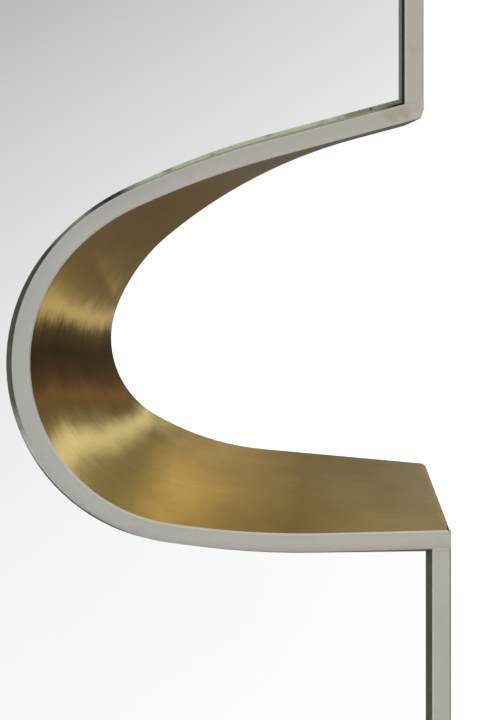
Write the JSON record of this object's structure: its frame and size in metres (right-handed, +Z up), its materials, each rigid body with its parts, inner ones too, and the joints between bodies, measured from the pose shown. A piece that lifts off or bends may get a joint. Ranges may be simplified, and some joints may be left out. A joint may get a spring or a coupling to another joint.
{
  "type": "accent mirror",
  "caption": "Tall wall mirror in an edge-on flat metal bar frame, with a brass-lined bay curving into its right side.",
  "frame": {"origin": "centre of the footprint, at the height of the bottom rail's underside", "axes": "+X to the right as seen by someone who looks into the mirror, +Y towards the wall, +Z up"},
  "size_m": [0.46, 0.0776, 0.72],
  "materials": {
    "bar": "polished nickel, faintly stained",
    "brass_skin": "brushed along the bay, lacquered",
    "mirror": "silvered glass with a ground green edge",
    "bedding": "black bedding mastic",
    "mastic": "grey mirror mastic",
    "board": "plywood",
    "tab": "plain steel",
    "cross_bar": "satin dark paint",
    "hanger": "zinc plated",
    "bumper": "matt",
    "fastener": "zinc plated"
  },
  "bodies": {
    "mirror": {"top_rail": "bar", "bottom_rail": "bar", "left_stile": "bar", "upper_right_stile": "bar", "lower_right_stile": "bar", "bay_band": "bar", "bay_skin": "brass_skin", "mirror_glass": "mirror", "glass_bedding": "bedding", "mastic_dabs": "mastic", "backing_board": "board", "left_tab_lower": "tab", "left_tab_middle": "tab", "left_tab_upper": "tab", "right_tab_bottom": "tab", "right_tab_lower": "tab", "right_tab_upper": "tab", "right_tab_top": "tab", "bottom_tab_left": "tab", "bottom_tab_right": "tab", "top_tab_left": "tab", "top_tab_right": "tab", "tab_screws": "fastener", "hanging_bar": "cross_bar", "strap_left": "hanger", "strap_right": "hanger", "strap_screws": "fastener", "strap_nuts": "fastener", "bumper_bar": "cross_bar", "bumper_left": "bumper", "bumper_right": "bumper", "bumper_screws": "fastener", "bumper_nuts": "fastener"},
    "ring_left": {"ring_left": "hanger"},
    "ring_right": {"ring_right": "hanger"}
  },
  "joints": [
    {"name": "ring_left_swing", "type": "hinge", "parent": "mirror", "child": "ring_left", "pos_m": [-0.14965, 0.03225, 0.645], "axis": [1, 0, 0], "range_deg": [0, 180]},
    {"name": "ring_right_swing", "type": "hinge", "parent": "mirror", "child": "ring_right", "pos_m": [0.1403, 0.03225, 0.645], "axis": [1, 0, 0], "range_deg": [0, 180]}
  ]
}
